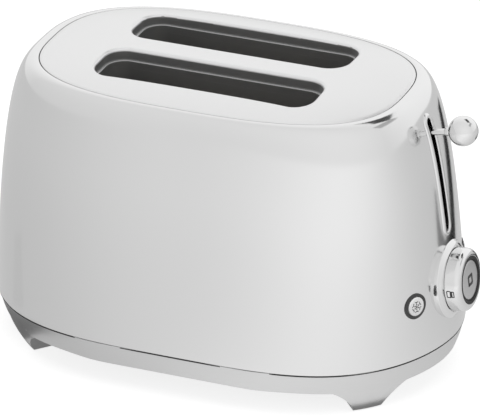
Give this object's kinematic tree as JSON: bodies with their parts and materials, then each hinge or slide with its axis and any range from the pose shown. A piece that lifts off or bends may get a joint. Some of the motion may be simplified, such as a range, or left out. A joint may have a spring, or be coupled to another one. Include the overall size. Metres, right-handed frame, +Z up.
{
  "type": "two-slice toaster",
  "caption": "Pop-up toaster for bread with a polished steel shell, side lever with a ball, browning dial, corner buttons and a crumb tray.",
  "frame": {"origin": "middle of the whole outline, the lever's ball included, on the surface the toaster stands on", "axes": "+X towards the end with the lever and the dial, -Y towards the long front side, +Z up"},
  "size_m": [0.3228, 0.1942, 0.1978],
  "materials": {
    "polished_shell": "mirror polished stainless steel",
    "satin_top": "satin",
    "satin_base": "satin",
    "chrome_trim": "bright chrome plating",
    "satin_button": "satin",
    "rubber_pads": "matte",
    "galvanised_sheet": "galvanised",
    "bright_reflector": "bright rolled sheet",
    "dark_throat": "dulled",
    "tray_steel": "satin",
    "ground_rod": "ground",
    "zinc_screws": "zinc plated",
    "spring_steel": "drawn wire",
    "guard_wire": "drawn wire",
    "rack_steel": "pressed sheet",
    "mica": "pressed mica sheet",
    "heating_ribbon": "oxidised resistance ribbon",
    "magnet_iron": "laminated iron",
    "copper_winding": "enamelled copper wire",
    "circuit_board": "paper laminate",
    "black_plastic": "heat-resistant moulding",
    "white_plastic": "moulding"
  },
  "bodies": {
    "chassis": {"body_shell": "polished_shell", "top_plate": "satin_top", "base_skirt": "satin_base", "foot_pads": "rubber_pads", "bottom_plate": "galvanised_sheet", "tray_rails": "galvanised_sheet", "cord_posts": "black_plastic", "base_screws": "zinc_screws", "cord_gland": "black_plastic", "terminal_block": "white_plastic", "control_end_sheet": "galvanised_sheet", "far_end_sheet": "galvanised_sheet", "reflector_front": "bright_reflector", "reflector_rear": "bright_reflector", "upper_frame": "dark_throat", "slot_throats": "dark_throat", "guide_rods": "ground_rod", "rod_brackets": "galvanised_sheet", "lift_spring": "spring_steel", "magnet_core": "magnet_iron", "magnet_coil": "copper_winding", "control_board": "circuit_board", "board_components": "black_plastic", "board_posts": "white_plastic", "dial_control": "black_plastic", "stop_switch": "black_plastic", "dial_bezel": "chrome_trim", "mica_front_outer": "mica", "heating_ribbon_front_outer": "heating_ribbon", "mica_front_inner": "mica", "heating_ribbon_front_inner": "heating_ribbon", "mica_rear_inner": "mica", "heating_ribbon_rear_inner": "heating_ribbon", "mica_rear_outer": "mica", "heating_ribbon_rear_outer": "heating_ribbon", "defrost_housing": "black_plastic", "defrost_spring": "spring_steel", "defrost_switch": "black_plastic", "reheat_housing": "black_plastic", "reheat_spring": "spring_steel", "reheat_switch": "black_plastic"},
    "lever": {"lever_stem": "chrome_trim", "lever_ball": "chrome_trim", "lift_carriage": "galvanised_sheet", "bread_rack_front": "rack_steel", "bread_rack_rear": "rack_steel", "latch_armature": "ground_rod"},
    "dial": {"dial_knob": "chrome_trim", "dial_sleeve": "black_plastic"},
    "stop": {"stop_button": "satin_button"},
    "defrost": {"defrost_button": "satin_button"},
    "reheat": {"reheat_button": "satin_button"},
    "tray": {"crumb_tray": "tray_steel", "tray_front": "satin_base"},
    "guard_front_outer": {"bread_guard_front_outer": "guard_wire"},
    "guard_front_inner": {"bread_guard_front_inner": "guard_wire"},
    "guard_rear_outer": {"bread_guard_rear_outer": "guard_wire"},
    "guard_rear_inner": {"bread_guard_rear_inner": "guard_wire"}
  },
  "joints": [
    {"name": "lever_slide", "type": "slide", "parent": "chassis", "child": "lever", "axis": [0, 0, 1], "range_m": [-0.064, 0.007], "stiffness_N_per_m": 60, "springref_m": 0.02878, "deforming": ["lift_spring"]},
    {"name": "guard_front_outer_lean", "type": "hinge", "parent": "chassis", "child": "guard_front_outer", "pos_m": [0, -0.045, 0.04], "axis": [1, 0, 0], "range_deg": [-5.1, 0.6]},
    {"name": "guard_front_inner_lean", "type": "hinge", "parent": "chassis", "child": "guard_front_inner", "pos_m": [0, -0.0126, 0.04], "axis": [1, 0, 0], "range_deg": [-0.6, 5.1]},
    {"name": "guard_rear_outer_lean", "type": "hinge", "parent": "chassis", "child": "guard_rear_outer", "pos_m": [0, 0.045, 0.04], "axis": [1, 0, 0], "range_deg": [-0.6, 5.1]},
    {"name": "guard_rear_inner_lean", "type": "hinge", "parent": "chassis", "child": "guard_rear_inner", "pos_m": [0, 0.0126, 0.04], "axis": [1, 0, 0], "range_deg": [-5.1, 0.6]},
    {"name": "dial_turn", "type": "hinge", "parent": "chassis", "child": "dial", "pos_m": [0.14345, 0, 0.0711], "axis": [0.9945, 0, 0.1045], "range_deg": [-135, 135]},
    {"name": "stop_press", "type": "slide", "parent": "chassis", "child": "stop", "axis": [-0.9945, 0, -0.1045], "range_m": [0, 0.002], "stiffness_N_per_m": 400, "springref_m": -0.001},
    {"name": "defrost_press", "type": "slide", "parent": "chassis", "child": "defrost", "axis": [-0.8873, 0.456, -0.0698], "range_m": [0, 0.002], "stiffness_N_per_m": 400, "springref_m": -0.001, "deforming": ["defrost_spring"]},
    {"name": "reheat_press", "type": "slide", "parent": "chassis", "child": "reheat", "axis": [-0.8873, -0.456, -0.0698], "range_m": [0, 0.002], "stiffness_N_per_m": 400, "springref_m": -0.001, "deforming": ["reheat_spring"]},
    {"name": "tray_slide", "type": "slide", "parent": "chassis", "child": "tray", "axis": [-1, 0, 0], "range_m": [0, 0.2]}
  ],
  "couplings": [
    {"joint": "guard_front_outer_lean", "follows": "lever_slide", "rad_per_m": 1.364},
    {"joint": "guard_front_inner_lean", "follows": "lever_slide", "rad_per_m": -1.364},
    {"joint": "guard_rear_outer_lean", "follows": "lever_slide", "rad_per_m": -1.364},
    {"joint": "guard_rear_inner_lean", "follows": "lever_slide", "rad_per_m": 1.364}
  ]
}
